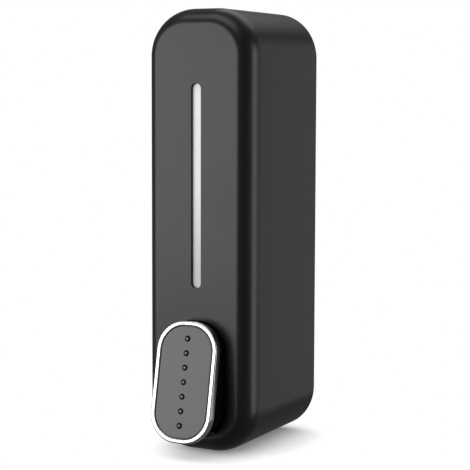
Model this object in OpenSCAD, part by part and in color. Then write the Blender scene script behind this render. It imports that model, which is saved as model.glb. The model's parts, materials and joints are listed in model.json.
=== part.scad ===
// Wall mounted soap dispenser: a fixed wall unit with reservoir and pump, a hinged cover
// with a push button, and a key lock. Millimetres. The origin lies on the wall, at the middle
// of the four wall screws. +X points right as seen from the front, +Z up, and the front
// faces -Y. "Out" values are distances from the wall.

/* [Cover] */
// Width of the cover
cover_w = 57; // [54:1:70]
// Height of the cover
cover_h = 210; // [175:1:255]
// Distance from the wall to the front face
cover_d = 72; // [60:1:88]
// Corner radius seen from the front
corner_r = 22.5; // [18:0.5:24]
// Radius of the rounded front edge
edge_r = 9; // [5:0.5:9]
// Thickness of the cover's walls
cover_wall = 2.2; // [1.8:0.1:2.8]
// Gap between the cover's rear edge and the wall
rear_gap = 1.2; // [1:0.1:1.6]

/* [Sight window] */
// Width of the sight slot
slot_w = 5; // [4:0.2:8]
// Distance from the slot's lower end to the button's hood
slot_gap = 15.8; // [12:0.2:30]
// Distance from the cover's top to the slot's upper end
slot_drop = 35; // [33:1:50]
// How far the window's face lies behind the front face
window_recess = 1.3; // [1.2:0.1:2]
// Thickness of the window strip
window_t = 1.8; // [1.4:0.1:2.2]
// How far the window strip reaches past the slot
window_rim = 3.2; // [2:0.2:4]

/* [Button] */
// Width of the bright ring
button_w = 32; // [28:0.5:36]
// Height of the bright ring
button_h = 57; // [48:0.5:60]
// Corner radius of the bright ring
button_r = 14; // [10:0.5:14]
// Width of the ring's face
band_w = 2.2; // [1.6:0.1:3]
// Depth of the ring
band_d = 3.4; // [2.8:0.1:4.5]
// Lean of the button's face
button_tilt = 11; // [8:0.5:14]
// How far the middle of the button's face stands in front of the cover
button_proud = 11.5; // [10:0.5:14]
// Height of the ring's lower edge above the base
button_foot = 8.4; // [8:0.1:14]
// Thickness of the button's insert
insert_t = 1.6; // [1.2:0.1:2]
// Gap between the insert and the ring
insert_gap = 0.2; // [0.1:0.05:0.3]
// Number of grip studs
stud_count = 7; // [5:1:7]
// Distance between grip studs
stud_pitch = 6.75; // [5:0.25:7]
// Radius of a grip stud
stud_r = 1.5; // [1:0.05:1.8]
// Height of a stud's dome above the insert
stud_dome = 0.55; // [0.3:0.05:0.8]
// Step from the ring in to the hood behind it
hood_step = 0.5; // [0.3:0.1:1]
// How far the hood's underside stays above the step, for the dip of its swing
hood_lift = 1.1; // [0.8:0.1:2]
// Thickness of the hood's walls
hood_wall = 2; // [1.6:0.1:2.4]
// Gap around the hood in the cover
hood_gap = 0.5; // [0.4:0.1:1]
// More room under the hood, for the dip of its swing
hood_dip = 1; // [1:0.1:1.6]
// Radius of the button's pivot pin
pivot_r = 1.25; // [1:0.05:1.5]

/* [Hinge] */
// Distance of the cover's hinge axis from the wall
hinge_out = 8; // [8:0.2:9]
// Height of the hinge axis above the base
hinge_rise = 6; // [6:0.2:7]
// Radius of the hinge pin
hinge_r = 1.5; // [1.25:0.05:1.6]
// Outer radius of the hinge ears
ear_r = 3.2; // [2.8:0.1:3.2]
// Width of one hinge ear
ear_w = 4; // [3:0.5:4]
// Width of the gap between the two hinge ears
ear_space = 10; // [8:0.5:10]
// Side gap between a hinge ear and the cover
ear_gap = 0.6; // [0.4:0.1:1]

/* [Wall plate] */
// Thickness of the wall plate
plate_t = 3; // [2.5:0.1:3.5]
// Gap between the plate's edge and the cover
plate_gap = 0.6; // [0.5:0.1:1]
// Height of the plate's lower edge above the base
plate_lift = 12.5; // [12:0.5:16]
// Distance between wall screws, across
screw_x = 30; // [20:1:32]
// Distance between wall screws, up and down
screw_z = 120; // [80:1:130]
// Radius of a wall screw hole
screw_r = 2.3; // [2:0.1:2.6]

/* [Reservoir] */
// Gap between the reservoir's side and the cover
tank_gap = 3.3; // [3:0.1:5]
// Distance from the wall to the reservoir's back
tank_back = 8; // [7:0.5:10]
// Gap between the window and the reservoir's front
tank_ahead = 5.7; // [4:0.1:8]
// Distance from the cover's top down to the reservoir's top
tank_drop = 33; // [32:0.5:36]
// Height of the reservoir's floor above the base
tank_rise = 65; // [65:0.5:70]
// Thickness of the reservoir's walls
tank_wall = 1.6; // [1.2:0.1:2.2]
// Corner radius of the reservoir
tank_r = 8; // [5:0.5:10]
// Bore radius of the filler neck
fill_r = 9; // [7:0.5:10]

/* [Pump] */
// Height of the pump's axis above the base
pump_rise = 29; // [28.5:0.5:31]
// Bore radius of the pump
pump_r = 7; // [6:0.25:7.5]
// Wall thickness of the pump
pump_wall = 2; // [1.6:0.1:2.4]
// Travel left for the plunger
stroke = 4.5; // [4.5:0.1:5.5]
// Radius of the plunger's rod
rod_r = 2.6; // [2:0.1:3]
// Radius of the spout
spout_r = 6.5; // [5.6:0.1:7]
// Wire radius of the return spring
wire_r = 0.45; // [0.3:0.05:0.6]
// Coil radius of the return spring
coil_r = 5.1; // [4.6:0.1:5.4]
// Turns of the return spring
coil_turns = 7; // [5:1:9]

/* [Lock] */
// Distance of the lock from the wall
lock_out = 17; // [16:0.5:19]
// Radius of the lock's barrel
barrel_r = 4; // [3:0.1:4]
// Outer radius of the lock's hook
hook_r = 11; // [10.5:0.5:12]

/* [Hidden] */
$fn = 48;
// Overlap that keeps cuts and unions clean
bite = 1;
// Keeps a slot's straight sides from vanishing
slice = 0.01;
// Running clearance of a pin in its bore
run_gap = 0.05;
// Free clearance between parts that pass each other
free_gap = 0.3;

top = cover_h / 2;
base = -cover_h / 2;
inside_out = cover_d - cover_wall;

// Hinge
hinge_z = base + hinge_rise;
ear_from = ear_space / 2;
ear_to = ear_from + ear_w;
lug_from = ear_to + ear_gap;
lug_to = lug_from + ear_w;
hinge_relief = 4;
relief_rise = 3;
notch_out = hinge_out + 4;

// Button
button_z = base + button_foot + button_h / 2 * cos(button_tilt);
button_out = cover_d + button_proud;
ring_in_w = button_w - 2 * band_w;
ring_in_h = button_h - 2 * band_w;
ring_in_r = button_r - band_w;
dome_r = (stud_r * stud_r + stud_dome * stud_dome) / (2 * stud_dome);
hood_w = button_w - 2 * hood_step;
hood_h = button_h * cos(button_tilt) - 2 * hood_step - hood_lift;
hood_r = button_r - hood_step;
hood_z = button_z - band_d * sin(button_tilt) + hood_lift / 2;
hood_back = cover_d - 8.5;
pivot_out = cover_d - 5.5;
pivot_z = hood_z + hood_h / 2 - 5.2;
lug_r = 3.2;
pivot_lug = 3;
lip_w = 16;
lip_h = 2.2;
lip_t = 1.8;

// Window
slot_h = top - slot_drop - slot_gap - hood_z - hood_h / 2;
slot_mid = top - slot_drop - slot_h / 2;
window_out = cover_d - window_recess;

// Plate
plate_w = cover_w - 2 * (cover_wall + plate_gap);
plate_r = corner_r - cover_wall - plate_gap;
plate_top = top - cover_wall - plate_gap;
plate_base = base + plate_lift;
plate_h = plate_top - plate_base;
head_r = 4.5;
rail_w = 1.8;
rail_out = 16;

// Reservoir
tank_w = cover_w - 2 * (cover_wall + tank_gap);
tank_front = window_out - window_t - tank_ahead;
tank_d = tank_front - tank_back;
tank_top = top - tank_drop;
tank_base = base + tank_rise;
tank_h = tank_top - tank_base;
cap_out = tank_front - 16;
neck_h = 8;
neck_r = fill_r + 1.5;
tab_x = 14;
tab_w = 10;
tab_h = 13;
tab_t = 2;
small_r = 1.3;
small_head_r = 3;
small_head = 2;
cap_t = 2;
cap_in_r = neck_r + free_gap;
cap_r = cap_in_r + 2.2;
cap_skirt = 8;
seal_t = 2;
grips = 24;
grip_r = 0.7;

// Pump
pump_z = base + pump_rise;
pump_out_r = pump_r + pump_wall;
head_out = cover_d - 5.1;
push_t = 2;
gland_t = 2;
gland_out = head_out - push_t - stroke - 0.5;
bore_out = gland_out - gland_t;
outlet_out = head_out - 22.9;
gland_skirt = bore_out - outlet_out - spout_r - 0.5;
inlet_out = outlet_out - 8;
bore_back = inlet_out - 9;
flange_t = 3;
flange_w = 36;
flange_h = 10;
neck_low = 16;
low_neck_r = 9;
low_bore_r = 6.2;
tower_r = low_bore_r - 0.2;
tower_bore = 4.2;
neck_end = tank_base - neck_low;
gasket_t = 1;
collar_t = 2;
collar_z = neck_end - gasket_t - collar_t;
tower_top = neck_end + 6;
nut_r = low_neck_r + free_gap + 2.6;
nut_lip = 1.9;
valve_z = neck_end - 6;
web_t = 1.5;
valve_room = 4.6;
valve_r = 4;
valve_t = 0.8;
stem_r = 0.85;
spigot_r = 5;
spigot_z = pump_z - pump_out_r - 5;
spout_top = pump_z - pump_out_r - free_gap;
spout_z = base + 0.8;
duck_r = 3.9;
duck_h = 6;
piston_t = 2;
piston_out = bore_out - 0.1;
seal_len = 3;
rod_flange_t = 1;
spring_out = piston_out - piston_t - seal_len - rod_flange_t;

// Lock
boss_r = barrel_r + 2.2;
barrel_head_r = barrel_r + 1;
barrel_head_t = 1.2;
cam_top = top - 6.4;
cam_t = 1.6;
cam_z = cam_top - cam_t;
hook_z = cam_top - 5.1;
hook_in = hook_r - 2.4;
hook_angle = 70;
hub_r = barrel_r + 0.5;
keeper_w = 6;
keeper_back = lock_out - 7.2;
keeper_t = 1.8;
keeper_top = cam_z - 0.6;
keeper_foot = top - 20;

// A flat outline with round corners, centred on the origin
module outline(w, h, r) {
    square([w - 2 * r, h], center = true);
    square([w, h - 2 * r], center = true);
    for (x = [-1, 1], y = [-1, 1])
        translate([x * (w / 2 - r), y * (h / 2 - r)]) circle(r);
}

// Children drawn in the plane of the wall become a slab between two distances from it
module out_slab(from, to) {
    translate([0, -from, 0]) rotate([90, 0, 0]) linear_extrude(to - from) children();
}

// A round bar along Y between two distances from the wall
module out_bar(r, from, to) {
    translate([0, -from, 0]) rotate([90, 0, 0]) cylinder(r = r, h = to - from);
}

// A round bar along X between two places
module cross_bar(r, from, to) {
    translate([from, 0, 0]) rotate([0, 90, 0]) cylinder(r = r, h = to - from);
}

// The same child on the left and on the right
module both_sides() {
    children();
    mirror([1, 0, 0]) children();
}

// Half of a section through the cover's front edge: a wall of the given reach and depth
module edge_section(reach, depth, r) {
    square([reach - r, depth]);
    square([reach, depth - r]);
    translate([reach - r, depth - r]) circle(r);
}

// The cover's outer form, drawn in by gap on every side but the back
module cover_form(gap, from) {
    r = edge_r - gap;
    corner = corner_r - gap;
    half_w = cover_w / 2 - gap;
    half_h = cover_h / 2 - gap;
    depth = cover_d - gap - from;
    flat_w = half_w - corner;
    flat_h = half_h - corner;
    for (x = [-1, 1], z = [-1, 1])
        translate([x * flat_w, -from, z * flat_h])
            rotate([90, 0, 0]) rotate_extrude() edge_section(corner, depth, r);
    translate([0, -from, -flat_h])
        rotate([0, 0, 180])
            linear_extrude(2 * flat_h) {
                edge_section(half_w, depth, r);
                mirror([1, 0]) edge_section(half_w, depth, r);
            }
    translate([-flat_w, -from, 0])
        rotate([0, 90, 0]) rotate([0, 0, 180])
            linear_extrude(2 * flat_w) {
                edge_section(half_h, depth, r);
                mirror([1, 0]) edge_section(half_h, depth, r);
            }
}

// Places children in the leaning frame of the button's face, with -Y pointing outwards
module at_button() {
    translate([0, -button_out, button_z]) rotate([-button_tilt, 0, 0]) children();
}

// A slab in the button's frame, from depth a behind the face to depth b
module face_slab(a, b) {
    translate([0, b, 0]) rotate([90, 0, 0]) linear_extrude(b - a) children();
}

// Everything that lies deeper than depth a behind the button's face
module behind_face(a) {
    reach = 80;
    at_button() translate([-reach / 2, a, -reach]) cube([reach, reach, 2 * reach]);
}

// The hood's form, drawn in by gap, from its open back to depth a behind the face
module hood_form(gap, from, a) {
    intersection() {
        translate([0, 0, hood_z])
            out_slab(from, button_out + button_h)
                outline(hood_w - 2 * gap, hood_h - 2 * gap, hood_r - gap);
        behind_face(a);
    }
}

// A screw along Y with its head towards the front
module small_screw(tip, seat) {
    out_bar(small_r, tip, seat + bite / 2);
    difference() {
        out_bar(small_head_r, seat, seat + small_head);
        translate([0, -seat - small_head - bite, 0]) {
            cube([4, 2 * bite + 2, 0.9], center = true);
            cube([0.9, 2 * bite + 2, 4], center = true);
        }
    }
}

module back_plate() {
    color("dimgray") {
        difference() {
            union() {
                translate([0, 0, (plate_top + plate_base) / 2])
                    out_slab(0, plate_t) outline(plate_w, plate_h, plate_r);
                // posts for the reservoir's tabs and for the pump
                both_sides() {
                    translate([tab_x, 0, tank_top + neck_h])
                        out_bar(3.5, plate_t - bite, tank_back);
                    translate([tab_x, 0, pump_z])
                        out_bar(4, plate_t - bite, bore_back - flange_t + 1);
                }
                // rails beside the reservoir
                both_sides()
                    translate([tank_w / 2 + 0.5, -rail_out, tank_base + 10])
                        cube([rail_w, rail_out - plate_t + bite, tank_h - 30]);
                // keeper for the lock's hook
                translate([-keeper_w / 2, -keeper_back - keeper_t, keeper_foot])
                    cube([keeper_w, keeper_back + keeper_t - bite, 3]);
                translate([-keeper_w / 2, -keeper_back - keeper_t, keeper_foot])
                    cube([keeper_w, keeper_t, keeper_top - keeper_foot]);
                hinge_ears();
            }
            for (x = [-1, 1], z = [-1, 1])
                translate([x * screw_x / 2, 0, z * screw_z / 2]) {
                    out_bar(screw_r, -bite, plate_t + bite);
                    out_bar(head_r, plate_t - 1, plate_t + bite);
                }
            both_sides() {
                translate([tab_x, 0, tank_top + neck_h])
                    out_bar(small_r, 1, tank_back + bite);
                translate([tab_x, 0, pump_z])
                    out_bar(small_r, plate_t, bore_back + bite);
                translate([0, -hinge_out, hinge_z])
                    cross_bar(hinge_r, ear_from - bite, ear_to + bite);
            }
        }
    }
}

// Two ears that carry the cover's hinge pin
module hinge_ears() {
    both_sides() {
        translate([0, -hinge_out, hinge_z]) cross_bar(ear_r, ear_from, ear_to);
        translate([ear_from, 0, 0])
            rotate([90, 0, 90])
                linear_extrude(ear_w)
                    polygon([
                        [0, plate_base + bite],
                        [0, hinge_z + ear_r - 1],
                        [-hinge_out, hinge_z - ear_r],
                        [-hinge_out, hinge_z + ear_r],
                        [-plate_t, plate_base + bite]
                    ]);
    }
}

module hinge_pin() {
    color("silver")
        translate([0, -hinge_out, hinge_z]) cross_bar(hinge_r, -lug_to, lug_to);
}

module reservoir() {
    color("ghostwhite", 0.6)
        difference() {
            union() {
                translate([0, -(tank_back + tank_front) / 2, tank_base])
                    linear_extrude(tank_h) outline(tank_w, tank_d, tank_r);
                translate([0, -cap_out, tank_top - bite]) cylinder(r = neck_r, h = neck_h + bite);
                translate([0, -inlet_out, neck_end])
                    cylinder(r = low_neck_r, h = neck_low + bite);
                both_sides()
                    translate([tab_x - tab_w / 2, -tank_back - tab_t, tank_top - 3])
                        cube([tab_w, tab_t, tab_h + 1]);
            }
            translate([0, -(tank_back + tank_front) / 2, tank_base + tank_wall])
                linear_extrude(tank_h - 2 * tank_wall)
                    outline(tank_w - 2 * tank_wall, tank_d - 2 * tank_wall, tank_r - tank_wall);
            translate([0, -cap_out, tank_top - 2 * tank_wall])
                cylinder(r = fill_r, h = neck_h + 2 * tank_wall + bite);
            translate([0, -inlet_out, neck_end - bite])
                cylinder(r = low_bore_r, h = neck_low + 2 * tank_wall + bite);
            both_sides()
                translate([tab_x, 0, tank_top + neck_h])
                    out_bar(small_r + 0.3, tank_back - bite, tank_back + tab_t + bite);
        }
}

module tank_screws() {
    color("silver")
        both_sides()
            translate([tab_x, 0, tank_top + neck_h]) small_screw(1, tank_back + tab_t);
}

module pump_body() {
    color("white")
        difference() {
            union() {
                translate([0, 0, pump_z]) out_bar(pump_out_r, bore_back - 2, bore_out);
                translate([0, 0, pump_z])
                    out_slab(bore_back - 2, bore_back - 2 + flange_t)
                        outline(flange_w, flange_h, flange_h / 2 - 1);
                translate([0, -inlet_out, pump_z])
                    cylinder(r = tower_r, h = tower_top - pump_z);
                translate([0, -inlet_out, collar_z]) cylinder(r = low_neck_r, h = collar_t);
                translate([0, -outlet_out, spigot_z])
                    cylinder(r = spigot_r, h = pump_z - spigot_z);
            }
            translate([0, 0, pump_z]) out_bar(pump_r, bore_back, bore_out + bite);
            translate([0, -inlet_out, valve_z + web_t])
                cylinder(r = tower_bore, h = tower_top - valve_z);
            translate([0, -inlet_out, pump_z]) cylinder(r = valve_room, h = valve_z - pump_z);
            translate([0, -inlet_out, valve_z - bite]) {
                cylinder(r = stem_r, h = web_t + 2 * bite);
                for (turn = [45 : 90 : 315])
                    rotate([0, 0, turn]) translate([2.5, 0, 0])
                        cylinder(r = 0.8, h = web_t + 2 * bite);
            }
            translate([0, -outlet_out, spigot_z - bite])
                cylinder(r = 2, h = pump_z - spigot_z);
            both_sides()
                translate([tab_x, 0, pump_z])
                    out_bar(small_r + 0.3, bore_back - 2 - bite, bore_back + flange_t);
        }
}

module pump_screws() {
    color("silver")
        both_sides()
            translate([tab_x, 0, pump_z]) small_screw(plate_t, bore_back - 2 + flange_t);
}

module tank_gasket() {
    color("darkslategray")
        translate([0, -inlet_out, neck_end - gasket_t])
            difference() {
                cylinder(r = low_neck_r, h = gasket_t);
                translate([0, 0, -bite]) cylinder(r = low_bore_r, h = gasket_t + 2 * bite);
            }
}

module union_nut() {
    color("white")
        translate([0, -inlet_out, collar_z - nut_lip])
            difference() {
                cylinder(r = nut_r, h = nut_lip + 11);
                translate([0, 0, nut_lip]) cylinder(r = low_neck_r + free_gap, h = 12);
                translate([0, 0, -bite]) cylinder(r = tower_r + free_gap, h = nut_lip + 2 * bite);
                for (i = [0 : 15])
                    rotate([0, 0, i * 22.5]) translate([nut_r + 0.3, 0, -bite])
                        cylinder(r = 0.9, h = nut_lip + 11 + 2 * bite);
            }
}

module inlet_valve() {
    color("lightgray")
        translate([0, -inlet_out, valve_z]) {
            translate([0, 0, -valve_t]) cylinder(r = valve_r, h = valve_t);
            cylinder(r = stem_r, h = web_t);
            translate([0, 0, web_t]) cylinder(r1 = 1.4, r2 = 0.7, h = 1.2);
        }
}

module gland_nut() {
    color("white")
        translate([0, 0, pump_z])
            difference() {
                out_bar(pump_out_r + 2, bore_out - gland_skirt, gland_out);
                out_bar(pump_out_r + 0.1, bore_out - gland_skirt - bite, bore_out);
                out_bar(rod_r + 0.1, bore_out - bite, gland_out + bite);
                for (i = [0 : 11])
                    rotate([0, i * 30, 0]) translate([pump_out_r + 2.3, 0, 0])
                        out_bar(0.9, bore_out - gland_skirt - bite, gland_out + bite);
            }
}

// A soft duckbill that closes when the plunger stops
module outlet_valve() {
    color("lightgray")
        translate([0, -outlet_out, spigot_z - 1])
            difference() {
                union() {
                    cylinder(r = spigot_r - 0.1, h = 1);
                    translate([0, 0, -duck_h]) intersection() {
                        cylinder(r = duck_r, h = duck_h);
                        rotate([90, 0, 90])
                            translate([0, 0, -duck_r])
                                linear_extrude(2 * duck_r)
                                    polygon([[-duck_r, duck_h], [duck_r, duck_h],
                                             [0.6, 0], [-0.6, 0]]);
                    }
                }
                translate([0, 0, -duck_h + 2]) cylinder(r1 = 0.3, r2 = 2.6, h = duck_h);
            }
}

module spout() {
    color("black")
        translate([0, -outlet_out, 0])
            difference() {
                translate([0, 0, spout_z]) cylinder(r = spout_r, h = spout_top - spout_z);
                translate([0, 0, spigot_z - 1]) cylinder(r = spigot_r, h = 20);
                translate([0, 0, spigot_z - duck_h - 2]) cylinder(r = duck_r + 0.3, h = 20);
                translate([0, 0, spout_z - bite]) cylinder(r = 3, h = 20);
            }
}

// Points of one ring of the spring's wire, at a share t of its length
function wire_ring(t, sides) = [
    for (k = [0 : sides - 1])
        let (
            turn = 360 * coil_turns * t,
            across = coil_r + wire_r * cos(360 * k / sides),
            run = bore_back + wire_r + (spring_out - bore_back - 2 * wire_r) * t
        )
        [across * cos(turn), -run + wire_r * sin(360 * k / sides), across * sin(turn)]
];

module return_spring() {
    sides = 6;
    rings = 16 * coil_turns;
    points = [for (i = [0 : rings]) each wire_ring(i / rings, sides)];
    walls = [
        for (i = [0 : rings - 1], k = [0 : sides - 1])
            let (a = i * sides + k, b = i * sides + (k + 1) % sides)
            [a, a + sides, b + sides, b]
    ];
    start = [for (k = [0 : sides - 1]) k];
    end = [for (k = [sides - 1 : -1 : 0]) rings * sides + k];
    color("silver")
        translate([0, 0, pump_z]) polyhedron(points, concat(walls, [start, end]));
}

module plunger_rod() {
    color("white")
        translate([0, 0, pump_z]) {
            out_bar(rod_r, spring_out, head_out - push_t / 2);
            out_bar(pump_r - 0.2, piston_out - piston_t, piston_out);
            out_bar(pump_r - 1, spring_out, spring_out + rod_flange_t);
        }
}

module piston_seal() {
    color("darkslategray")
        translate([0, 0, pump_z])
            difference() {
                out_bar(pump_r - run_gap, spring_out + rod_flange_t, piston_out - piston_t);
                out_bar(rod_r, spring_out, piston_out);
            }
}

module push_head() {
    color("white")
        translate([0, 0, pump_z])
            difference() {
                out_bar(7, head_out - push_t, head_out);
                out_bar(rod_r, head_out - push_t - bite, head_out - push_t / 2);
            }
}

module cap_seal() {
    color("darkslategray")
        translate([0, -cap_out, tank_top + neck_h])
            difference() {
                cylinder(r = neck_r, h = seal_t);
                translate([0, 0, -bite]) cylinder(r = fill_r - 2, h = bite + seal_t / 2);
            }
}

module fill_cap() {
    color("gray")
        translate([0, -cap_out, tank_top + neck_h + seal_t - cap_skirt])
            difference() {
                cylinder(r = cap_r, h = cap_skirt + cap_t);
                translate([0, 0, -bite]) cylinder(r = cap_in_r, h = cap_skirt + bite);
                for (i = [0 : grips - 1])
                    rotate([0, 0, i * 360 / grips]) translate([cap_r + 0.3, 0, -bite])
                        cylinder(r = grip_r, h = cap_skirt + bite);
            }
}

module front_cover() {
    color([0.12, 0.12, 0.125])
        difference() {
            union() {
                difference() {
                    cover_form(0, rear_gap);
                    cover_form(cover_wall, rear_gap - bite);
                }
                cover_lugs();
            }
            // sight slot
            translate([0, 0, slot_mid])
                out_slab(inside_out - bite, cover_d + bite)
                    outline(slot_w, slot_h, slot_w / 2 - slice);
            // opening for the button's hood
            translate([0, 0, hood_z - hood_dip / 2])
                out_slab(cover_d - edge_r, cover_d + bite)
                    outline(hood_w + 2 * hood_gap, hood_h + 2 * hood_gap + hood_dip,
                            hood_r + hood_gap);
            // hole for the spout
            translate([0, -outlet_out, base - bite]) cylinder(r = spout_r + 1.5, h = 12);
            // seat and bore for the lock's barrel
            translate([0, -lock_out, cam_top - bite])
                cylinder(r = barrel_r + run_gap, h = 12);
            translate([0, -lock_out, top - barrel_head_t])
                cylinder(r = barrel_head_r + run_gap, h = barrel_head_t + bite);
            // room behind the hinge for the swing
            translate([-cover_w / 2, -hinge_relief, base - bite])
                cube([cover_w, hinge_relief, relief_rise + bite]);
            both_sides() {
                translate([ear_from - ear_gap, -notch_out, base - bite])
                    cube([ear_w + 2 * ear_gap, notch_out, hinge_rise + bite]);
                translate([0, -hinge_out, hinge_z])
                    cross_bar(hinge_r + run_gap, lug_from - bite, lug_to + bite);
                translate([0, -pivot_out, pivot_z])
                    cross_bar(pivot_r, hood_w / 2, hood_w / 2 + hood_gap + pivot_lug + bite);
            }
        }
}

// Lugs inside the cover for the hinge pin, the button's pin and the lock
module cover_lugs() {
    both_sides() {
        translate([0, -hinge_out, hinge_z]) cross_bar(ear_r, lug_from, lug_to);
        translate([lug_from, -hinge_out - ear_r, base + 1.8])
            cube([ear_w, 2 * ear_r, hinge_rise - 1.8]);
        translate([hood_w / 2 + hood_gap, -inside_out - 0.5, pivot_z - lug_r])
            cube([pivot_lug, inside_out - hood_back + 0.8, 2 * lug_r]);
    }
    translate([0, -lock_out, cam_top + free_gap])
        cylinder(r = boss_r, h = top - cam_top - free_gap - 1);
}

module sight_window() {
    color("whitesmoke", 0.8) {
        translate([0, 0, slot_mid])
            out_slab(inside_out - window_t, inside_out)
                outline(slot_w + 2 * window_rim, slot_h + 2 * window_rim,
                        slot_w / 2 + window_rim - slice);
        translate([0, 0, slot_mid])
            out_slab(inside_out - window_t / 2, window_out)
                outline(slot_w - 0.2, slot_h - 0.2, slot_w / 2 - 0.1 - slice);
    }
}

module button_pin() {
    reach = hood_w / 2 + hood_gap + pivot_lug;
    color("silver")
        translate([0, -pivot_out, pivot_z]) cross_bar(pivot_r, -reach, reach);
}

module lock_barrel() {
    color("gray")
        translate([0, -lock_out, 0])
            difference() {
                union() {
                    translate([0, 0, cam_top]) cylinder(r = barrel_r, h = top - cam_top - 0.1);
                    translate([0, 0, top - barrel_head_t])
                        cylinder(r = barrel_head_r, h = barrel_head_t - 0.1);
                }
                translate([0, 0, top]) cube([5, 1.2, 6], center = true);
                translate([0, 0, cam_top - bite]) cylinder(r = 1.2, h = 2 + bite);
            }
}

// A turning hook that drops behind the wall plate's keeper after a quarter turn
module lock_cam() {
    color("silver")
        translate([0, -lock_out, 0])
            difference() {
                union() {
                    translate([0, 0, cam_z]) cylinder(r = hub_r, h = cam_t);
                    rotate([0, 0, -hook_angle / 2])
                        rotate_extrude(angle = hook_angle)
                            polygon([[3, cam_z], [3, cam_top], [hook_r, cam_top],
                                     [hook_r, hook_z], [hook_in, hook_z], [hook_in, cam_z]]);
                }
                translate([0, 0, cam_z - bite]) cylinder(r = 1.2, h = cam_t + 2 * bite);
            }
}

module cam_screw() {
    color("silver")
        translate([0, -lock_out, 0])
            difference() {
                union() {
                    translate([0, 0, cam_z - 1.4]) cylinder(r = 2.6, h = 1.4);
                    translate([0, 0, cam_z - bite]) cylinder(r = 1.2, h = cam_t + bite + 2);
                }
                translate([0, 0, cam_z - 1.4]) cube([4, 0.8, 1.4], center = true);
            }
}

module button_hood() {
    nose_r = 4;
    nose_out = head_out + free_gap + nose_r;
    color([0.03, 0.03, 0.03])
        difference() {
            union() {
                difference() {
                    hood_form(0, hood_back, band_d);
                    hood_form(hood_wall, hood_back - bite, band_d + hood_wall);
                }
                at_button()
                    face_slab(insert_t, band_d + bite)
                        outline(ring_in_w - 0.1, ring_in_h - 0.1, ring_in_r - 0.05);
                // nose that pushes the plunger
                intersection() {
                    union() {
                        translate([0, -nose_out, pump_z]) cross_bar(nose_r, -4, 4);
                        translate([-4, -nose_out - 30, pump_z - nose_r])
                            cube([8, 30, 2 * nose_r]);
                    }
                    hood_form(hood_wall / 2, hood_back, band_d + hood_wall / 2);
                }
                // lip that stops the button against the back of the front wall
                translate([-lip_w / 2, -cover_d + cover_wall + 1.2, hood_z - hood_h / 2 - lip_h])
                    cube([lip_w, lip_t, lip_h + hood_wall]);
            }
            translate([0, -pivot_out, pivot_z])
                cross_bar(pivot_r + run_gap, -hood_w, hood_w);
        }
}

module chrome_ring() {
    color("silver")
        at_button()
            difference() {
                face_slab(-0.3, band_d) outline(button_w, button_h, button_r);
                face_slab(-bite, band_d + bite) outline(ring_in_w, ring_in_h, ring_in_r);
            }
}

// Places children at each grip stud, in the button's frame
module at_studs() {
    for (i = [0 : stud_count - 1])
        translate([0, 0, (i - (stud_count - 1) / 2) * stud_pitch]) children();
}

module button_insert() {
    color([0.44, 0.44, 0.43])
        at_button()
            difference() {
                face_slab(0, insert_t)
                    outline(ring_in_w - 2 * insert_gap, ring_in_h - 2 * insert_gap,
                            ring_in_r - insert_gap);
                at_studs()
                    translate([0, insert_t + bite, 0]) rotate([90, 0, 0])
                        cylinder(r = stud_r + run_gap, h = insert_t + 2 * bite);
            }
}

module grip_studs() {
    color("black")
        at_button()
            at_studs()
                rotate([90, 0, 0]) rotate_extrude() {
                    translate([0, -insert_t]) square([stud_r, insert_t]);
                    intersection() {
                        translate([0, stud_dome - dome_r]) circle(dome_r);
                        square([stud_r, stud_dome]);
                    }
                }
}

back_plate();
hinge_pin();
reservoir();
tank_screws();
pump_body();
pump_screws();
tank_gasket();
union_nut();
inlet_valve();
gland_nut();
outlet_valve();
spout();
return_spring();
plunger_rod();
piston_seal();
push_head();
cap_seal();
fill_cap();
front_cover();
sight_window();
button_pin();
lock_barrel();
lock_cam();
cam_screw();
button_hood();
chrome_ring();
button_insert();
grip_studs();
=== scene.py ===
"""Wall mounted soap dispenser: the finished look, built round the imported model.

Lengths are metres. +X points right as seen from the front, +Z up, and the front faces -Y.
The wall lies at y = 0, behind the dispenser. "Out" is the distance from the wall.
"""
import json
import math

import bmesh
import bpy
import numpy as np
from mathutils import Matrix, Vector


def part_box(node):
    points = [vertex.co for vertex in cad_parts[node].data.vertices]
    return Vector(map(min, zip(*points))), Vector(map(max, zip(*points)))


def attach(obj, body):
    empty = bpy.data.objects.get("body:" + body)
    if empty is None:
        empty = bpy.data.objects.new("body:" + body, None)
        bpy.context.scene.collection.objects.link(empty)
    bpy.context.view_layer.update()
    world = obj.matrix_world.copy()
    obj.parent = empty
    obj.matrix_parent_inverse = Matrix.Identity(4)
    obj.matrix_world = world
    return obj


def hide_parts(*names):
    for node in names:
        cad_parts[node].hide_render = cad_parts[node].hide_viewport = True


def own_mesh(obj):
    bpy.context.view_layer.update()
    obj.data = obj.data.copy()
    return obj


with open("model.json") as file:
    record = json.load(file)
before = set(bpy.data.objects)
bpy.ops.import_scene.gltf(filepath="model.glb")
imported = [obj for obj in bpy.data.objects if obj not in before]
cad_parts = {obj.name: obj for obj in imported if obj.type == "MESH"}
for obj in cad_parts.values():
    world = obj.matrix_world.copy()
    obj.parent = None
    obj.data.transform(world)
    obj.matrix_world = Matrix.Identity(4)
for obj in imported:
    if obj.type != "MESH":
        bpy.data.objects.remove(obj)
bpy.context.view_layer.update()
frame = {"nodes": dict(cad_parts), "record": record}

MM = 0.001
TURN = 2 * math.pi

# ---------------------------------------------------------------- sizes read from the frame
cover_low, cover_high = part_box("front_cover")
window_low, window_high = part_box("sight_window")
ring_low, ring_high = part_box("chrome_ring")
hood_low, hood_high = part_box("button_hood")
spout_low, spout_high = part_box("spout")
barrel_low, barrel_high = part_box("lock_barrel")
spring_low, spring_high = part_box("return_spring")
pivot_low, pivot_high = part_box("button_pin")
hinge_low, hinge_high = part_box("hinge_pin")

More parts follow.
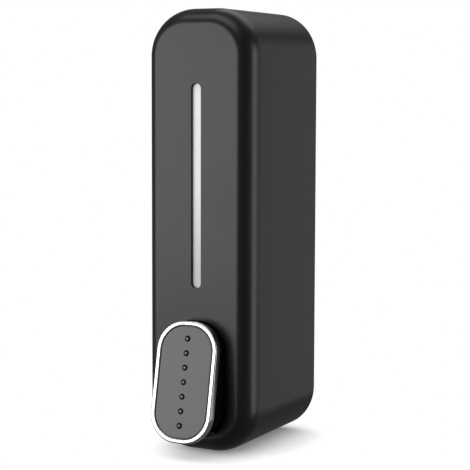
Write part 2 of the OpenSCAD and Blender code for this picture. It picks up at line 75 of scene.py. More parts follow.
COVER_W = cover_high.x - cover_low.x
COVER_H = cover_high.z - cover_low.z
COVER_D = -cover_low.y
COVER_BACK = -cover_high.y
TOP = cover_high.z
BASE = cover_low.z
CORNER = 22.5 * MM
WALL = 2.2 * MM
EDGE_W = 7.8 * MM
EDGE_D = 11.5 * MM

WINDOW_RIM = 3.2 * MM
SLOT_W = window_high.x - window_low.x - 2 * WINDOW_RIM
SLOT_H = window_high.z - window_low.z - 2 * WINDOW_RIM
SLOT_MID = (window_high.z + window_low.z) / 2

TILT = math.radians(11)
RING_W = ring_high.x - ring_low.x
RING_H = 57 * MM
RING_R = 14 * MM
BAND = 2.2 * MM
BAND_D = 3.4 * MM
RING_PROUD = 0.3 * MM
BUTTON_RISE = 8.4 * MM + RING_H / 2 * math.cos(TILT)
BUTTON_PROUD = 11.5 * MM
HOOD_W = hood_high.x - hood_low.x
HOOD_TOP = hood_high.z
HOOD_LIP = 2.2 * MM
HOOD_FOOT = hood_low.z + HOOD_LIP
HOOD_R = 13.5 * MM
HOOD_GAP = 0.5 * MM
HOOD_DIP = 0.92 * MM

REAR_LIP = 0.25 * MM
SLOT_LIP = 0.25 * MM
OPENING_LIP = 0.1 * MM
SPOUT_GAP = 1.5 * MM
LUG_R = 3.2 * MM
FIT_GAP = 0.05 * MM
RELIEF_RISE = 3 * MM
RELIEF_OUT = 4 * MM
EAR_FROM = 4.4 * MM
EAR_TO = 9.6 * MM
EAR_RISE = 5 * MM
EAR_OUT = 12 * MM
HINGE_LUG_W = 4 * MM
PIVOT_LUG_W = 3 * MM
LOCK_RIM = 1 * MM
LOCK_SEAT = 1.2 * MM
LOCK_BOSS_R = 6.2 * MM
LOCK_BORE = 4.05 * MM

STUD_COUNT = 7
STUD_R = 1.5 * MM
STUD_H = 0.55 * MM
STUD_PITCH = 6.75 * MM
STUD_ROOT = 0.4 * MM

CAMERA_FROM = (27.20, 5.24)
CAMERA_FAR = 0.7299
CAMERA_ROLL = 0.268
CAMERA_LENS = 108.91
CAMERA_SHIFT = (-0.0664, -0.0293)
KEY_AZIMUTH = -31
SHADE_LEAN = 72
ROOM = 0.14
FLOOR_HALF = 2.5
FLOOR_GAP = 0.4 * MM


# ---------------------------------------------------------------- shapes worked out with numpy
def round_outline(half_w, half_h, r, arc=20, across=8, along=24):
    """Closed loop of (x, z) round a rectangle whose corners are quarter circles of radius r.
    Each corner runs x = cx + r cos a, z = cz + r sin a, and straight stretches join them, with
    the same number of points at every size, so that loops of several sizes pair up."""
    cx, cz = half_w - r, half_h - r
    parts = []
    for start, (sx, sz) in zip((0, 90, 180, 270), ((1, 1), (-1, 1), (-1, -1), (1, -1))):
        a = np.radians(np.linspace(start, start + 90, arc + 1))
        corner = np.stack([sx * cx + r * np.cos(a), sz * cz + r * np.sin(a)], 1)
        parts.append(corner)
    loop = []
    for i, corner in enumerate(parts):
        nxt = parts[(i + 1) % 4]
        steps = across if i in (0, 2) else along
        t = np.linspace(0, 1, steps + 1)[1:-1, None]
        loop += [corner, corner[-1] * (1 - t) + nxt[0] * t]
    return np.concatenate(loop)


def circle_loop(r, count):
    """Closed loop (r cos a, r sin a)."""
    a = np.linspace(0, TURN, count, endpoint=False)
    return np.stack([r * np.cos(a), r * np.sin(a)], 1)


def on_front(loop, out, centre=(0, 0)):
    """Loop in the plane of the wall, moved out from it. out may differ along the loop."""
    x, z = loop[:, 0] + centre[0], loop[:, 1] + centre[1]
    return np.stack([x, -np.broadcast_to(out, x.shape), z], 1)


def ring_faces(rings, count, first=0, closed=False):
    """Quads between rings of count points each, every ring closed on itself."""
    i = np.arange(rings if closed else rings - 1)[:, None]
    k = np.arange(count)[None, :]
    a = i * count + k
    b = i * count + (k + 1) % count
    up = ((i + 1) % rings) * count
    quads = np.stack([a, b, up + (k + 1) % count, up + k], -1)
    return quads.reshape(-1, 4) + first


def new_object(name, points, faces):
    """A mesh object from points and faces, at the origin, with its place in its mesh."""
    mesh = bpy.data.meshes.new(name)
    mesh.from_pydata(np.asarray(points).tolist(), [], [list(map(int, f)) for f in faces])
    mesh.update()
    piece = bpy.data.objects.new(name, mesh)
    bpy.context.scene.collection.objects.link(piece)
    return piece


def finish_mesh(piece, sharp=35):
    """Merges doubles, points faces outwards, and smooths all but edges sharper than the angle."""
    work = bmesh.new()
    work.from_mesh(piece.data)
    bmesh.ops.remove_doubles(work, verts=work.verts, dist=1e-7)
    bmesh.ops.recalc_face_normals(work, faces=work.faces)
    work.to_mesh(piece.data)
    work.free()
    piece.data.polygons.foreach_set("use_smooth", [True] * len(piece.data.polygons))
    piece.data.set_sharp_from_angle(angle=math.radians(sharp))
    return piece


def fill_between(loops):
    """Triangles of a flat face bounded by the first loop, with the other loops as holes.
    Returns points and faces."""
    work = bmesh.new()
    for loop in loops:
        verts = [work.verts.new(p) for p in loop]
        for a, b in zip(verts, verts[1:] + verts[:1]):
            work.edges.new((a, b))
    bmesh.ops.triangle_fill(work, use_beauty=True, use_dissolve=False, edges=work.edges)
    work.verts.index_update()
    points = np.array([v.co for v in work.verts])
    faces = [[v.index for v in f.verts] for f in work.faces]
    work.free()
    return points, faces


class Parts:
    """Gathers points and faces of several surfaces into one mesh."""

    def __init__(self):
        self.points, self.faces, self.count = [], [], 0

    def add(self, points, faces):
        self.points.append(np.asarray(points, float).reshape(-1, 3))
        self.faces += [[int(i) + self.count for i in f] for f in faces]
        self.count += len(self.points[-1])

    def add_rings(self, rings, closed=False):
        rings = np.asarray(rings)
        self.add(rings.reshape(-1, 3), ring_faces(len(rings), rings.shape[1], 0, closed))

    def make(self, name, sharp=35):
        return finish_mesh(new_object(name, np.concatenate(self.points), self.faces), sharp)


def quarter(r, steps):
    """(away, down) pairs of a quarter round: away = r (1 - sin a), down = r (1 - cos a)."""
    a = np.linspace(0, math.pi / 2, steps + 1)
    return np.stack([r * (1 - np.sin(a)), r * (1 - np.cos(a))], 1)


def bored(outer, bore, low, high, place, axis):
    """A bored block: a closed outline and a round bore, both carried straight from low to high
    along the axis. outer holds as many points as the bore's circle."""
    inner = circle_loop(bore, len(outer))
    rings = [(outer, low), (outer, high), (inner, high), (inner, low)]
    points = []
    for loop, at in rings:
        a, b, along = loop[:, 0] + place[0], loop[:, 1] + place[1], np.full(len(loop), at)
        points.append(np.stack([along, a, b] if axis == "X" else [a, b, along], 1))
    return np.array(points)


def capped_outline(r, reach, count=96):
    """Outline in polar form: a half circle of radius r above, and straight sides down to reach."""
    loop = circle_loop(1, count)
    with np.errstate(divide="ignore"):
        t = np.minimum(r / np.abs(loop[:, 0]), reach / np.abs(loop[:, 1]))
    scale = np.where(loop[:, 1] >= 0, r, t)
    return loop * scale[:, None]


# ---------------------------------------------------------------- cover
def cover_back_edge(x, z):
    """Distance from the wall of the cover's rear edge. It is one gap all round, but for the
    relief and the two hinge notches in the underside."""
    relief = (z < BASE + RELIEF_RISE) * (RELIEF_OUT - COVER_BACK)
    ear = (np.abs(x) > EAR_FROM) & (np.abs(x) < EAR_TO) & (z < BASE + EAR_RISE)
    return np.where(ear, EAR_OUT, COVER_BACK + relief)


def cover_rings():
    """The shell's section carried round its outline. The section runs from the front face over
    a quarter ellipse (EDGE_W wide, EDGE_D deep), along the side, round the rear edge, and back
    inside at the wall's thickness."""
    half_w, half_h = COVER_W / 2, COVER_H / 2
    a = np.linspace(0, math.pi / 2, 17)
    depths = np.linspace(0, 1, 9)[1:-1]
    rings = []

    def ring(inset, out):
        loop = round_outline(half_w - inset, half_h - inset, CORNER - inset, 36, 30, 24)
        back = cover_back_edge(loop[:, 0], loop[:, 1])
        rings.append(on_front(loop, out(back)))

    for s, c in zip(np.sin(a), np.cos(a)):
        ring(EDGE_W * (1 - s), lambda back, c=c: COVER_D - EDGE_D * (1 - c) + 0 * back)
    side = COVER_D - EDGE_D
    for t in depths:
        ring(0, lambda back, t=t: side + (back + REAR_LIP - side) * t)
    for away, down in quarter(REAR_LIP, 4)[::-1]:
        ring(away, lambda back, d=down: back + d)
    for away, down in quarter(REAR_LIP, 4):
        ring(WALL - away, lambda back, d=down: back + d)
    for t in depths[::-1]:
        ring(WALL, lambda back, t=t: side + (back + REAR_LIP - side) * t)
    for s, c in zip(np.sin(a[::-1]), np.cos(a[::-1])):
        ring(WALL + (EDGE_W - WALL) * (1 - s),
             lambda back, c=c: COVER_D - WALL - (EDGE_D - WALL) * (1 - c) + 0 * back)
    return np.array(rings)


def hole_loops():
    """The sight slot and the button's opening: outline for a given growth, centre, and radius
    of the rounded front edge."""
    def slot(grow):
        return round_outline(SLOT_W / 2 + grow, SLOT_H / 2 + grow, SLOT_W / 2 + grow - 0.01 * MM,
                             12, 2, 16)

    tall = HOOD_TOP - HOOD_FOOT + 2 * HOOD_GAP + HOOD_DIP
    middle = (HOOD_TOP + HOOD_FOOT - HOOD_DIP) / 2

    def opening(grow):
        return round_outline(HOOD_W / 2 + HOOD_GAP + grow, tall / 2 + grow,
                             HOOD_R + HOOD_GAP + grow, 16, 6, 10)

    return [(slot, (0, SLOT_MID), SLOT_LIP), (opening, (0, middle), OPENING_LIP)]


def make_cover():
    """The black shell: section swept round the outline, flat front with two holes whose front
    edges are rounded, and round holes for spout and lock."""
    parts = Parts()
    rings = cover_rings()
    parts.add_rings(rings)
    outer, inner = [rings[0]], [rings[-1]]
    for loop, centre, lip in hole_loops():
        around = [on_front(loop(away), COVER_D - down, centre) for away, down in quarter(lip, 5)]
        around.append(on_front(loop(0), COVER_D - WALL, centre))
        parts.add_rings(around)
        outer.append(around[0])
        inner.append(around[-1])
    parts.add(*fill_between(outer))
    parts.add(*fill_between(inner))
    cover = parts.make("cover_shell", 40)
    spout_at = (spout_low + spout_high) / 2
    drill(cover, (spout_at.x, spout_at.y), (spout_high.x - spout_low.x) / 2 + SPOUT_GAP,
          BASE - 5 * MM, BASE + 9 * MM)
    lock_y = (barrel_low.y + barrel_high.y) / 2
    head = (barrel_high.x - barrel_low.x) / 2 + FIT_GAP
    drill(cover, (0, lock_y), head, TOP - LOCK_SEAT, TOP + 2 * MM)
    drill(cover, (0, lock_y), head - LOCK_RIM, TOP - 8 * MM, TOP)
    even = cover.modifiers.new("even_normals", "WEIGHTED_NORMAL")
    even.keep_sharp = True
    return cover


def make_lugs():
    """The bosses inside the cover: two for the hinge pin, two for the button's pin, and the
    lock's boss."""
    parts = Parts()
    hinge_at = (hinge_low + hinge_high) / 2
    pivot_at = (pivot_low + pivot_high) / 2
    hinge_bore = (hinge_high.z - hinge_low.z) / 2 + FIT_GAP
    foot = hinge_at.z - BASE - 1.8 * MM
    half = HOOD_W / 2 + HOOD_GAP
    for side in (-1, 1):
        ends = sorted((side * hinge_high.x, side * (hinge_high.x - HINGE_LUG_W)))
        parts.add_rings(bored(capped_outline(LUG_R, foot), hinge_bore, *ends,
                              (hinge_at.y, hinge_at.z), "X"), closed=True)
        ends = sorted((side * half, side * (half + PIVOT_LUG_W)))
        turned = capped_outline(LUG_R, 3.6 * MM)[:, ::-1]
        parts.add_rings(bored(turned, pivot_high.z - pivot_at.z, *ends,
                              (pivot_at.y, pivot_at.z), "X"), closed=True)
    lock_y = (barrel_low.y + barrel_high.y) / 2
    parts.add_rings(bored(circle_loop(LOCK_BOSS_R, 96), LOCK_BORE, TOP - 6.1 * MM, TOP - 1 * MM,
                          (0, lock_y), "Z"), closed=True)
    return parts.make("cover_lugs", 40)


def drill(piece, place, radius, low, high):
    """Cuts a round hole along Z."""
    count = 64
    loop = circle_loop(radius, count)
    z = np.array([low, high])
    rings = np.stack([np.column_stack([loop[:, 0] + place[0], loop[:, 1] + place[1],
                                       np.full(len(loop), h)]) for h in z])
    faces = [*ring_faces(2, count), list(range(count))[::-1], list(range(count, 2 * count))]
    cutter = finish_mesh(new_object("drill", rings.reshape(-1, 3), faces))
    cut = piece.modifiers.new("hole", "BOOLEAN")
    cut.object = cutter
    cut.operation = "DIFFERENCE"
    cut.solver = "EXACT"
    bpy.context.view_layer.objects.active = piece
    bpy.ops.object.modifier_apply(modifier=cut.name)
    mesh = cutter.data
    bpy.data.objects.remove(cutter)
    bpy.data.meshes.remove(mesh)
    piece.data.polygons.foreach_set("use_smooth", [True] * len(piece.data.polygons))
    piece.data.set_sharp_from_angle(angle=math.radians(40))


# ---------------------------------------------------------------- button
def button_frame(points):
    """Moves points from the button's own frame, whose -Y leans with its face, into place."""
    turn = np.array(Matrix.Rotation(-TILT, 3, "X"))
    centre = np.array([0, -(COVER_D + BUTTON_PROUD), BASE + BUTTON_RISE])
    return np.asarray(points) @ turn.T + centre


def button_outline(inset):
    """The bright ring's outline, drawn in."""
    return round_outline(RING_W / 2 - inset, RING_H / 2 - inset, RING_R - inset, 24, 6, 14)


def make_ring():
    """Bright ring: a band with a soft crown, carried round the button's outline. The crown
    follows sin(t) ** 0.7 across the band, and the section closes over the band's back."""
    crown = 0.55 * MM
    t = np.linspace(0, math.pi, 19)
    across = BAND / 2 * (1 - np.cos(t))
    depth = -RING_PROUD + crown * (1 - np.sin(t) ** 0.7)
    section = [*zip(across, depth), (BAND, BAND_D), (0, BAND_D)]
    rings = [on_front(button_outline(s), -down) for s, down in section]
    parts = Parts()
    parts.add_rings(button_frame(np.array(rings)), closed=True)
    return parts.make("button_ring", 50)


def make_insert():
    """Grey plate inside the ring: rounded front edge, and a face crowned by 1 - f * f, where f
    runs from 1 at the edge to 0 at the middle."""
    edge, lip, thick, crown = BAND + 0.28 * MM, 0.3 * MM, 1.6 * MM, 0.12 * MM
    rim = button_outline(edge + lip)
    rings = [on_front(rim * f, crown * (1 - f * f)) for f in np.linspace(0.04, 1, 14)]
    a = np.linspace(0, math.pi / 2, 6)[1:]
    rings += [on_front(button_outline(edge + lip - lip * s), -lip * (1 - c))
              for s, c in zip(np.sin(a), np.cos(a))]
    rings.append(on_front(button_outline(edge), -thick))
    rings = button_frame(np.array(rings))
    parts = Parts()
    parts.add_rings(rings)
    count = rings.shape[1]
    parts.add(rings[0], [list(range(count))])
    parts.add(rings[-1], [list(range(count))])
    return parts.make("button_plate", 45)


def make_studs():
    """Seven glossy domes on the plate: radius r sin(a) ** 0.75, height h cos(a), so that the
    sides stand steep and the top is round. The attribute "polish" is 1 at the tips, which
    fingers have rubbed bright, and falls to 0 about half a millimetre away."""
    a = np.linspace(0.03, math.pi / 2, 14)
    profile = [*zip(STUD_R * np.sin(a) ** 0.75, STUD_H * np.cos(a)), (STUD_R, -STUD_ROOT)]
    row = [(0, i * STUD_PITCH) for i in range(-(STUD_COUNT // 2), STUD_COUNT // 2 + 1)]
    parts = Parts()
    for centre in row:
        rings = [on_front(circle_loop(s, 40), up, centre) for s, up in profile]
        rings = button_frame(np.array(rings))
        parts.add_rings(rings)
        parts.add(rings[0], [list(range(40))])
        parts.add(rings[-1], [list(range(40))])
    studs = parts.make("plate_studs", 60)
    place = np.array([v.co for v in studs.data.vertices])
    centres = button_frame(on_front(np.array(row), STUD_H))
    away = np.linalg.norm(place[:, None] - centres[None], axis=2).min(1)
    polish = studs.data.attributes.new("polish", "FLOAT", "POINT")
    polish.data.foreach_set("value", np.clip(1.5 - away / (0.4 * MM), 0, 1))
    return studs


# ---------------------------------------------------------------- inside
def make_spring():
    """Return spring: a wire of radius w follows a helix about the pump's axis. The run along
    the axis is t - sin(2 pi t) / (2 pi) * ease, so that the end turns close up."""
    wire, turns, steps, sides, ease = 0.45 * MM, 7, 30, 12, 0.55
    coil = (spring_high.x - spring_low.x) / 2 - wire
    axis_z = (spring_high.z + spring_low.z) / 2
    start, end = -spring_high.y + wire, -spring_low.y - wire
    t = np.linspace(0, 1, turns * steps + 1)[:, None]
    k = np.linspace(0, TURN, sides, endpoint=False)[None, :]
    turn = TURN * turns * t
    run = start + (end - start) * (t - ease * np.sin(TURN * t) / TURN)
    across = coil + wire * np.cos(k)
    rings = np.stack([across * np.cos(turn), -run + wire * np.sin(k) + 0 * turn,
                      axis_z + across * np.sin(turn)], -1)
    parts = Parts()
    parts.add_rings(rings)
    parts.add(rings[0], [list(range(sides))])
    parts.add(rings[-1], [list(range(sides))])
    return parts.make("pump_spring", 50)


def make_cap():
    """Fill cap: a turned profile whose skirt carries rounded grip ribs. The skirt's radius is
    r + d * (|cos(12 a)| ** 0.6 - 1), and the ribs fade out towards the top edge."""
    low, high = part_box("fill_cap")
    centre, r = (low + high) / 2, (high.x - low.x) / 2
    tall = high.z - low.z
    deep, lip = 0.55 * MM, 0.7 * MM
    skirt = tall - 2 * MM
    bore = r - 2.2 * MM
    count = 288
    a = np.linspace(0, TURN, count, endpoint=False)
    rib = deep * (np.abs(np.cos(12 * a)) ** 0.6 - 1)
    sections = [(bore, 0.5 * MM, 0), (bore + 0.5 * MM, 0, 0), (r - 0.4 * MM, 0, 1)]
    sections += [(r, 0.4 * MM, 1), (r, tall / 2, 1), (r, tall - 2 * lip, 1), (r, tall - lip, 0.8)]
    sections += [(r - lip * (1 - math.cos(e)), tall - lip + lip * math.sin(e), 1 - e / 1.6)
                 for e in (0.5, 1.0, math.pi / 2)]
    sections += [(r * 0.72, tall, 0), (r * 0.66, tall - 0.4 * MM, 0), (r * 0.3, tall - 0.4 * MM, 0)]
    sections = [(bore * 0.3, skirt, 0), (bore, skirt, 0), *sections]
    rings = [np.stack([(s + rib * w) * np.cos(a) + centre.x, (s + rib * w) * np.sin(a) + centre.y,
                       np.full(count, low.z + z)], 1) for s, z, w in sections]
    parts = Parts()
    parts.add_rings(rings)
    for end in (rings[-1], rings[0]):
        parts.add(end, [list(range(count))])
    return parts.make("grip_cap", 40)


# ---------------------------------------------------------------- materials
def socket(tree, name, kind, way):
    return tree.interface.new_socket(name, in_out=way, socket_type="NodeSocket" + kind)


def preset(node, **values):
    """Sets a node's free inputs by name, where an underscore stands for a space."""
    for key, value in values.items():
        node.inputs[key.replace("_", " ")].default_value = value


def surface_group():
    """Shared fine texture of moulded and metal surfaces: a fine grain height, a slow patchiness
    and thin handling marks, from object coordinates in metres."""
    tree = bpy.data.node_groups.new("fine_surface", "ShaderNodeTree")
    socket(tree, "Vector", "Vector", "INPUT")
    socket(tree, "Grain", "Float", "INPUT")
    socket(tree, "Marks", "Float", "INPUT")
    for name in ("Height", "Patch", "Scratch"):
        socket(tree, name, "Float", "OUTPUT")
    link = tree.links.new
    put, out = tree.nodes.new("NodeGroupInput"), tree.nodes.new("NodeGroupOutput")
    grain = tree.nodes.new("ShaderNodeTexNoise")
    preset(grain, Detail=3, Roughness=0.65)
    patch = tree.nodes.new("ShaderNodeTexNoise")
    preset(patch, Scale=38, Detail=4)
    lines = tree.nodes.new("ShaderNodeMapping")
    preset(lines, Rotation=(0.3, 0.5, 0.9), Scale=(1, 0.05, 0.22))
    streak = tree.nodes.new("ShaderNodeTexNoise")
    preset(streak, Scale=2600, Detail=2)
    pick = tree.nodes.new("ShaderNodeMapRange")
    preset(pick, From_Min=0.66, From_Max=0.76)
    amount = tree.nodes.new("ShaderNodeMath")
    amount.operation = "MULTIPLY"
    link(put.outputs["Vector"], grain.inputs["Vector"])
    link(put.outputs["Grain"], grain.inputs["Scale"])
    link(put.outputs["Vector"], patch.inputs["Vector"])
    link(put.outputs["Vector"], lines.inputs["Vector"])
    link(lines.outputs["Vector"], streak.inputs["Vector"])
    link(streak.outputs["Fac"], pick.inputs["Value"])
    link(pick.outputs["Result"], amount.inputs[0])
    link(put.outputs["Marks"], amount.inputs[1])
    link(grain.outputs["Fac"], out.inputs["Height"])
    link(patch.outputs["Fac"], out.inputs["Patch"])
    link(amount.outputs["Value"], out.inputs["Scratch"])
    return tree


def dust_group():
    """Shared light dust: a mask that grows on faces that look up and breaks up with noise."""
    tree = bpy.data.node_groups.new("settled_dust", "ShaderNodeTree")
    socket(tree, "Vector", "Vector", "INPUT")
    socket(tree, "Amount", "Float", "INPUT")
    socket(tree, "Mask", "Float", "OUTPUT")
    link = tree.links.new
    put, out = tree.nodes.new("NodeGroupInput"), tree.nodes.new("NodeGroupOutput")
    facing = tree.nodes.new("ShaderNodeNewGeometry")
    split = tree.nodes.new("ShaderNodeSeparateXYZ")
    up = tree.nodes.new("ShaderNodeMapRange")
    preset(up, From_Min=0.55, From_Max=1.0)
    specks = tree.nodes.new("ShaderNodeTexNoise")
    preset(specks, Scale=900, Detail=5)
    both, amount = tree.nodes.new("ShaderNodeMath"), tree.nodes.new("ShaderNodeMath")
    both.operation = amount.operation = "MULTIPLY"
    link(facing.outputs["Normal"], split.inputs["Vector"])
    link(split.outputs["Z"], up.inputs["Value"])
    link(put.outputs["Vector"], specks.inputs["Vector"])
    link(up.outputs["Result"], both.inputs[0])
    link(specks.outputs["Fac"], both.inputs[1])
    link(both.outputs["Value"], amount.inputs[0])
    link(put.outputs["Amount"], amount.inputs[1])
    link(amount.outputs["Value"], out.inputs["Mask"])
    return tree


SURFACE = surface_group()
DUST = dust_group()


def finish(name, colour, rough, grain=2500, depth=0.01, marks=0.3, tint=0.08, vary=0.08, dust=0.03,
           **sockets):
    """A procedural material. colour is linear; depth is the grain's height in millimetres;
    tint and vary are how far colour and roughness wander; other values go to the shader."""
    material = bpy.data.materials.new(name)
    material.use_nodes = True
    tree = material.node_tree
    nodes, link = tree.nodes, tree.links.new
    shader = nodes["Principled BSDF"]
    place = nodes.new("ShaderNodeTexCoord")
    fine, soil = nodes.new("ShaderNodeGroup"), nodes.new("ShaderNodeGroup")
    fine.node_tree, soil.node_tree = SURFACE, DUST
    preset(fine, Grain=grain, Marks=marks)
    preset(soil, Amount=dust)
    link(place.outputs["Object"], fine.inputs["Vector"])
    link(place.outputs["Object"], soil.inputs["Vector"])
    wander = nodes.new("ShaderNodeMix")
    wander.data_type = "RGBA"
    preset(wander, A=(*[c * (1 - tint) for c in colour], 1),
           B=(*[min(1, c * (1 + tint)) for c in colour], 1))
    link(fine.outputs["Patch"], wander.inputs["Factor"])
    dusty = nodes.new("ShaderNodeMix")
    dusty.data_type = "RGBA"
    preset(dusty, B=(0.32, 0.31, 0.29, 1))
    link(soil.outputs["Mask"], dusty.inputs["Factor"])
    link(wander.outputs["Result"], dusty.inputs["A"])
    link(dusty.outputs["Result"], shader.inputs["Base Color"])
    level = nodes.new("ShaderNodeMapRange")
    preset(level, To_Min=rough - vary, To_Max=rough + vary)
    worn = nodes.new("ShaderNodeMath")
    worn.operation = "MULTIPLY_ADD"
    worn.inputs[1].default_value = 0.25
    link(fine.outputs["Patch"], level.inputs["Value"])
    link(fine.outputs["Scratch"], worn.inputs[0])
    link(level.outputs["Result"], worn.inputs[2])
    link(worn.outputs["Value"], shader.inputs["Roughness"])
    bump = nodes.new("ShaderNodeBump")
    preset(bump, Distance=depth * MM, Strength=1)
    link(fine.outputs["Height"], bump.inputs["Height"])
    link(bump.outputs["Normal"], shader.inputs["Normal"])
    preset(shader, **sockets)
    return material


def paint_shade_downwards(material, low, high, dark):
    """Paints shade into a material's colour: darkens it smoothly from a high place down to a low
    one.
    """
    nodes, link = material.node_tree.nodes, material.node_tree.links.new
    shader = nodes["Principled BSDF"]
    old = shader.inputs["Base Color"].links[0].from_socket
    place, split = nodes.new("ShaderNodeTexCoord"), nodes.new("ShaderNodeSeparateXYZ")
    fade = nodes.new("ShaderNodeMapRange")
    fade.interpolation_type = "SMOOTHSTEP"
    preset(fade, From_Min=low, From_Max=high, To_Min=dark, To_Max=1)
    mix = nodes.new("ShaderNodeMix")
    mix.data_type = "RGBA"
    mix.blend_type = "MULTIPLY"
    preset(mix, Factor=1)
    link(place.outputs["Object"], split.inputs["Vector"])
    link(split.outputs["Z"], fade.inputs["Value"])
    link(old, mix.inputs["A"])
    link(fade.outputs["Result"], mix.inputs["B"])
    link(mix.outputs["Result"], shader.inputs["Base Color"])


def polish_tips(material):
    """Raises the shine where the mesh attribute "polish" says."""
    nodes, link = material.node_tree.nodes, material.node_tree.links.new
    rubbed, level = nodes.new("ShaderNodeAttribute"), nodes.new("ShaderNodeMapRange")
    rubbed.attribute_name = "polish"
    preset(level, To_Min=0.08, To_Max=0.9)
    link(rubbed.outputs["Fac"], level.inputs["Value"])
    link(level.outputs["Result"], nodes["Principled BSDF"].inputs["Specular IOR Level"])


MATERIALS = {
    "cover_black": finish("satin_black", (0.0085, 0.0085, 0.0083), 0.34, 3200, 0.006, 0.03, 0.12,
                          0.04, 0.008, Specular_IOR_Level=0.3),
    "hood_black": finish("gloss_black", (0.003, 0.003, 0.003), 0.12, 900, 0.002, 0.4, 0.2, 0.04,
                         0.01, Specular_IOR_Level=0.35),
    "insert_grey": finish("satin_grey", (0.083, 0.083, 0.082), 0.36, 5200, 0.012, 0.25, 0.05, 0.06,
                          0.01, Specular_IOR_Level=0.3),
    "stud_black": finish("gloss_stud", (0.004, 0.004, 0.004), 0.16, 1500, 0.002, 0.3, 0.2, 0.05,
                         0.0, Specular_IOR_Level=0.5),
    "chrome": finish("bright_chrome", (0.5, 0.503, 0.505), 0.2, 700, 0.0001, 0.0, 0.01, 0.03,
                     0.0, Metallic=1.0),
    "window_frost": finish("frosted_strip", (0.78, 0.76, 0.72), 0.42, 4200, 0.01, 0.1, 0.03, 0.06,
                           0.0, Subsurface_Weight=0.12),
    "tank_clear": finish("milky_polypropylene", (0.86, 0.88, 0.87), 0.36, 1800, 0.008, 0.02, 0.03,
                         0.05, 0.02, Transmission_Weight=0.35, IOR=1.49),
    "pump_white": finish("white_polypropylene", (0.74, 0.74, 0.72), 0.36, 1800, 0.012, 0.1, 0.04,
                         0.05, 0.04),
    "cap_grey": finish("ribbed_grey", (0.2, 0.205, 0.21), 0.42, 2200, 0.02, 0.35, 0.06, 0.1, 0.05),
    "plate_black": finish("matt_black", (0.016, 0.016, 0.017), 0.5, 1500, 0.03, 0.35, 0.12, 0.1,
                          0.06),
    "spout_black": finish("spout_plastic", (0.011, 0.011, 0.011), 0.36, 2200, 0.012, 0.3, 0.12,
                          0.06, 0.02),
    "silicone": finish("soft_silicone", (0.72, 0.72, 0.7), 0.5, 1500, 0.015, 0.0, 0.03, 0.06, 0.06,
                       Subsurface_Weight=0.25),
    "seal_rubber": finish("nitrile_rubber", (0.018, 0.018, 0.019), 0.62, 1700, 0.03, 0.0, 0.15,
                          0.1, 0.1),
    "steel": finish("zinc_plated_steel", (0.58, 0.59, 0.6), 0.2, 1600, 0.006, 0.2, 0.06, 0.05,
                    0.01, Metallic=1.0),
    "spring_steel": finish("spring_wire", (0.52, 0.51, 0.49), 0.2, 2600, 0.005, 0.2, 0.08, 0.05,
                           0.0, Metallic=1.0),
    "lock_metal": finish("nickel_lock", (0.62, 0.6, 0.57), 0.19, 1500, 0.005, 0.2, 0.05, 0.05, 0.01,
                         Metallic=1.0),
}
polish_tips(MATERIALS["stud_black"])
# painted shade: the frosted strip's colour darkens towards its bottom, to 0.62 at the window's
# lower edge
paint_shade_downwards(MATERIALS["window_frost"], window_low.z, SLOT_MID + 0.01, 0.62)

# ---------------------------------------------------------------- pieces
NEW_PIECES = [
    (make_cover(), "cover", ["front_cover"], "cover_black"),
    (make_lugs(), "cover", ["front_cover"], "cover_black"),
    (make_ring(), "button", ["chrome_ring"], "chrome"),
    (make_insert(), "button", ["button_insert"], "insert_grey"),
    (make_studs(), "button", ["grip_studs"], "stud_black"),
    (make_spring(), "wall_unit", ["return_spring"], "spring_steel"),
    (make_cap(), "fill_cap", ["fill_cap"], "cap_grey"),
]
for piece, body, nodes, slot in NEW_PIECES:
    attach(piece, body)
    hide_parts(*nodes)
    piece.data.materials.append(MATERIALS[slot])
spring = bpy.data.objects["pump_spring"]
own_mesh(spring)

for part in frame["record"]["subparts"]:
    mesh = frame["nodes"][part["node"]].data
    mesh.materials.clear()
    mesh.materials.append(MATERIALS[part["material_slot"]])

# ---------------------------------------------------------------- stage
def toward(azimuth, elevation):
    """Unit vector from the origin: azimuth 0 lies in front (-Y), growing to the right (+X)."""
    a, e = math.radians(azimuth), math.radians(elevation)
    return Vector((math.sin(a) * math.cos(e), -math.cos(a) * math.cos(e), math.sin(e)))


def add_camera():
    camera = bpy.data.objects.new("camera", bpy.data.cameras.new("camera"))
    bpy.context.scene.collection.objects.link(camera)
    away = toward(*CAMERA_FROM)
    camera.location = away * CAMERA_FAR
    roll = Matrix.Rotation(math.radians(CAMERA_ROLL), 3, "Z").to_quaternion()
    camera.rotation_euler = ((-away).to_track_quat("-Z", "Y") @ roll).to_euler()
    camera.data.sensor_width = 36
    camera.data.lens = CAMERA_LENS
    camera.data.shift_x, camera.data.shift_y = CAMERA_SHIFT
    camera.data.clip_start = 0.01
    bpy.context.scene.camera = camera


def add_softbox(name, azimuth, elevation, distance, width, height, radiance):
    """A rectangular light that faces the dispenser's middle. radiance is its brightness as a
    reflection shows it."""
    light = bpy.data.lights.new(name, "AREA")
    light.shape = "RECTANGLE"
    light.size, light.size_y = width, height
    light.energy = radiance * math.pi * width * height
    lamp = bpy.data.objects.new(name, light)
    away = toward(azimuth, elevation)
    lamp.location = away * distance
    lamp.rotation_euler = away.to_track_quat("Z", "Y").to_euler()
    lamp.visible_camera = False
    bpy.context.scene.collection.objects.link(lamp)


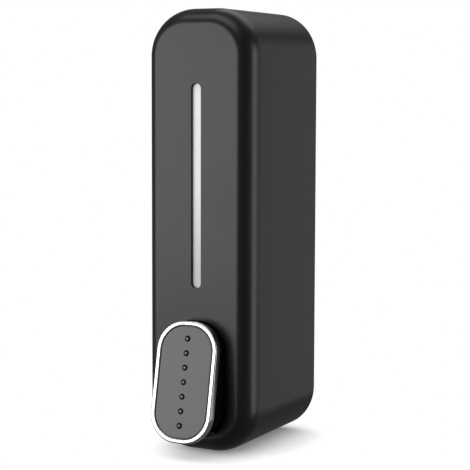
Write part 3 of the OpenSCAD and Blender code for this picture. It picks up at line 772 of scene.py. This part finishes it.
def set_world():
    """White behind everything the camera sees, and a dim grey room for light and reflections."""
    world = bpy.context.scene.world or bpy.data.worlds.new("studio")
    bpy.context.scene.world = world
    world.use_nodes = True
    tree = world.node_tree
    tree.nodes.clear()
    out, mix = tree.nodes.new("ShaderNodeOutputWorld"), tree.nodes.new("ShaderNodeMixShader")
    path = tree.nodes.new("ShaderNodeLightPath")
    room, white = tree.nodes.new("ShaderNodeBackground"), tree.nodes.new("ShaderNodeBackground")
    preset(room, Color=(ROOM, ROOM, ROOM, 1))
    preset(white, Color=(1, 1, 1, 1))
    tree.links.new(path.outputs["Is Camera Ray"], mix.inputs["Fac"])
    tree.links.new(room.outputs["Background"], mix.inputs[1])
    tree.links.new(white.outputs["Background"], mix.inputs[2])
    tree.links.new(mix.outputs["Shader"], out.inputs["Surface"])


def add_floor():
    """Pale floor of the white room, with a soft contact shadow of the dispenser. It is a clear
    sheet that only darkens what lies behind it, so that an open cover hangs down through it."""
    signs = ((-1, -1), (1, -1), (1, 1), (-1, 1))
    corners = [(x * FLOOR_HALF, y * FLOOR_HALF, BASE - FLOOR_GAP) for x, y in signs]
    floor = new_object("floor", corners, [(0, 1, 2, 3)])
    material = bpy.data.materials.new("pale_floor")
    material.use_nodes = True
    nodes, link = material.node_tree.nodes, material.node_tree.links.new
    nodes.clear()
    out, clear = nodes.new("ShaderNodeOutputMaterial"), nodes.new("ShaderNodeBsdfTransparent")
    near, shade = nodes.new("ShaderNodeAmbientOcclusion"), nodes.new("ShaderNodeMapRange")
    near.samples = 32
    preset(near, Distance=0.032)
    preset(shade, From_Min=0.08, From_Max=0.7, To_Min=0.2, To_Max=1.0)
    lean = nodes.new("ShaderNodeCombineXYZ")
    preset(lean, **dict(zip("XYZ", toward(KEY_AZIMUTH, SHADE_LEAN))))
    link(lean.outputs["Vector"], near.inputs["Normal"])
    link(near.outputs["AO"], shade.inputs["Value"])
    link(shade.outputs["Result"], clear.inputs["Color"])
    link(clear.outputs["BSDF"], out.inputs["Surface"])
    floor.data.materials.append(material)
    floor.visible_glossy = floor.visible_diffuse = floor.visible_shadow = False


add_camera()
set_world()
add_floor()
SOFTBOXES = [
    ("key", KEY_AZIMUTH, 3.2, 0.9, 0.98, 0.58, 4.4),
    ("overhead", -10, 68, 0.9, 0.9, 0.5, 2.6),
    ("right_strip", 108, 0, 0.8, 0.26, 0.7, 4.2),
    ("right_back", 148, 0, 0.9, 0.6, 0.8, 0.45),
    ("top_back", 180, 52, 0.8, 0.7, 0.4, 1.3),
]
for box in SOFTBOXES:
    add_softbox(*box)
bpy.context.scene.view_settings.view_transform = "Standard"
